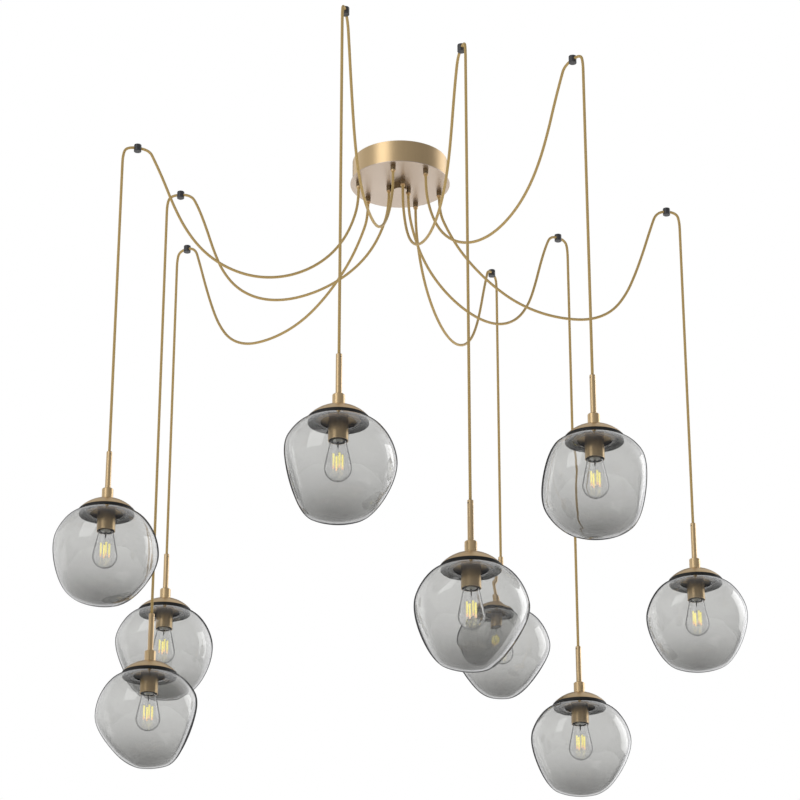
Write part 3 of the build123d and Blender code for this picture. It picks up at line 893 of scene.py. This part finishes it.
class PENDANT_OT_stage(bpy.types.Operator):
    """Set the floor, the lights and the pale surroundings"""

    bl_idname = "pendant.stage"
    bl_label = "Stage"

    def execute(self, context):
        scene = context.scene
        settings = scene.pendant_stage
        floor_mesh = bmesh.new()
        bmesh.ops.create_grid(floor_mesh, x_segments=2, y_segments=2, size=9)
        bmesh.ops.translate(floor_mesh, vec=(0, 0, settings.floor), verts=floor_mesh.verts)
        mesh = bpy.data.meshes.new("floor")
        floor_mesh.to_mesh(mesh)
        floor_mesh.free()
        floor = bpy.data.objects.new("floor", mesh)
        scene.collection.objects.link(floor)
        finish = Finish("pale_floor")
        cloud = finish.grain(2.0, finish.coordinates(), 3.0)
        finish.surface(Base_Color=finish.blend(cloud, (0.84, 0.84, 0.835, 1), (0.87, 0.87, 0.865, 1)),
                       Roughness=0.9, Emission_Color=(1, 0.99, 0.98, 1), Emission_Strength=0.4)
        floor.data.materials.append(finish.material)
        self.lamp("key_light", (-3.3, -3.75, 2.3), (0, 0, -0.5), 2.8, 3.2, 41)
        self.lamp("rim_light", (3.7, 1.7, 0.1), (0, 0, -0.8), 2.0, 3.0, 28)
        self.surroundings(scene)
        scene.cycles.max_bounces = 28
        scene.cycles.transmission_bounces = 28
        scene.cycles.glossy_bounces = 8
        scene.cycles.transparent_max_bounces = 16
        scene.view_settings.view_transform = "Standard"
        return {"FINISHED"}

    def lamp(self, name, place, aim, width, height, power):
        """A soft rectangular light."""
        data = bpy.data.lights.new(name, "AREA")
        data.shape = "RECTANGLE"
        data.size, data.size_y, data.energy = width, height, power
        obj = bpy.data.objects.new(name, data)
        bpy.context.scene.collection.objects.link(obj)
        obj.location = place
        obj.rotation_euler = (Vector(aim) - Vector(place)).to_track_quat("-Z", "Y").to_euler()

    def surroundings(self, scene):
        """White where it is looked at, a grey studio, brighter behind, where it lights and reflects."""
        scene.world = bpy.data.worlds.new("surroundings")
        studio = Graph(scene.world)

        def ray(kind):
            return studio.node("ShaderNodeLightPath", output=kind)

        def way(axis):
            around = studio.node("ShaderNodeTexCoord", output="Generated")
            return studio.node("ShaderNodeSeparateXYZ", inputs={0: around}, output=axis)

        straight = studio.maths("LESS_THAN", ray("Glossy Depth") + ray("Diffuse Depth"), 0.5)
        seen = studio.maths("MAXIMUM", straight * ray("Is Transmission Ray"), ray("Is Camera Ray"))
        along = way("Y") * 0.917 + way("Z") * 0.398
        behind = studio.share(along, 0.2, 0.6)
        hole = studio.share(along, 0.89, 0.95)
        above = studio.share(way("Z"), 0.45, 0.75)
        strength = (behind * (way("X") * 1.65 + 1.65) + 1) * ((1 - above * 0.5) * (1 - hole * 0.95))
        tone = studio.node("ShaderNodeValToRGB",
                           {"stops": [(0.0, (0.62, 0.62, 0.62, 1)), (1.0, (0.30, 0.30, 0.31, 1))]},
                           {"Fac": way("X") * 0.5 + 0.5})
        dim = studio.node("ShaderNodeBackground", inputs={"Color": tone, "Strength": strength})
        white = studio.node("ShaderNodeBackground", inputs={"Color": (1, 1, 1, 1)})
        mix = studio.node("ShaderNodeMixShader", inputs={0: seen, 1: dim, 2: white})
        studio.node("ShaderNodeOutputWorld", inputs={"Surface": mix})


class PENDANT_PT_panel(bpy.types.Panel):
    """Lists the steps that build the pendant"""

    bl_label = "Cluster pendant"
    bl_idname = "PENDANT_PT_panel"
    bl_space_type = "VIEW_3D"
    bl_region_type = "UI"
    bl_category = "Pendant"

    def draw(self, context):
        scene = context.scene
        for group in (scene.pendant_metal, scene.pendant_cords, scene.pendant_glass, scene.pendant_stage):
            box = self.layout.box()
            for name in group.__annotations__:
                box.prop(group, name)
        for step in steps:
            self.layout.operator(step.bl_idname)


steps = (
    PENDANT_OT_camera,
    PENDANT_OT_cords,
    PENDANT_OT_canopy,
    PENDANT_OT_hooks,
    PENDANT_OT_stems,
    PENDANT_OT_caps,
    PENDANT_OT_shades,
    PENDANT_OT_bulbs,
    PENDANT_OT_stage,
)
groups = {
    "pendant_metal": MetalSettings,
    "pendant_cords": CordSettings,
    "pendant_glass": GlassSettings,
    "pendant_stage": StageSettings,
}


def register():
    for kind in tuple(groups.values()) + steps + (PENDANT_PT_panel,):
        bpy.utils.register_class(kind)
    for name, kind in groups.items():
        setattr(bpy.types.Scene, name, PointerProperty(type=kind))


def unregister():
    for name in groups:
        delattr(bpy.types.Scene, name)
    for kind in reversed(tuple(groups.values()) + steps + (PENDANT_PT_panel,)):
        bpy.utils.unregister_class(kind)


def main():
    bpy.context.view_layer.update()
    register()
    for step in steps:
        group, name = step.bl_idname.split(".")
        getattr(getattr(bpy.ops, group), name)()


if __name__ == "__main__":
    main()
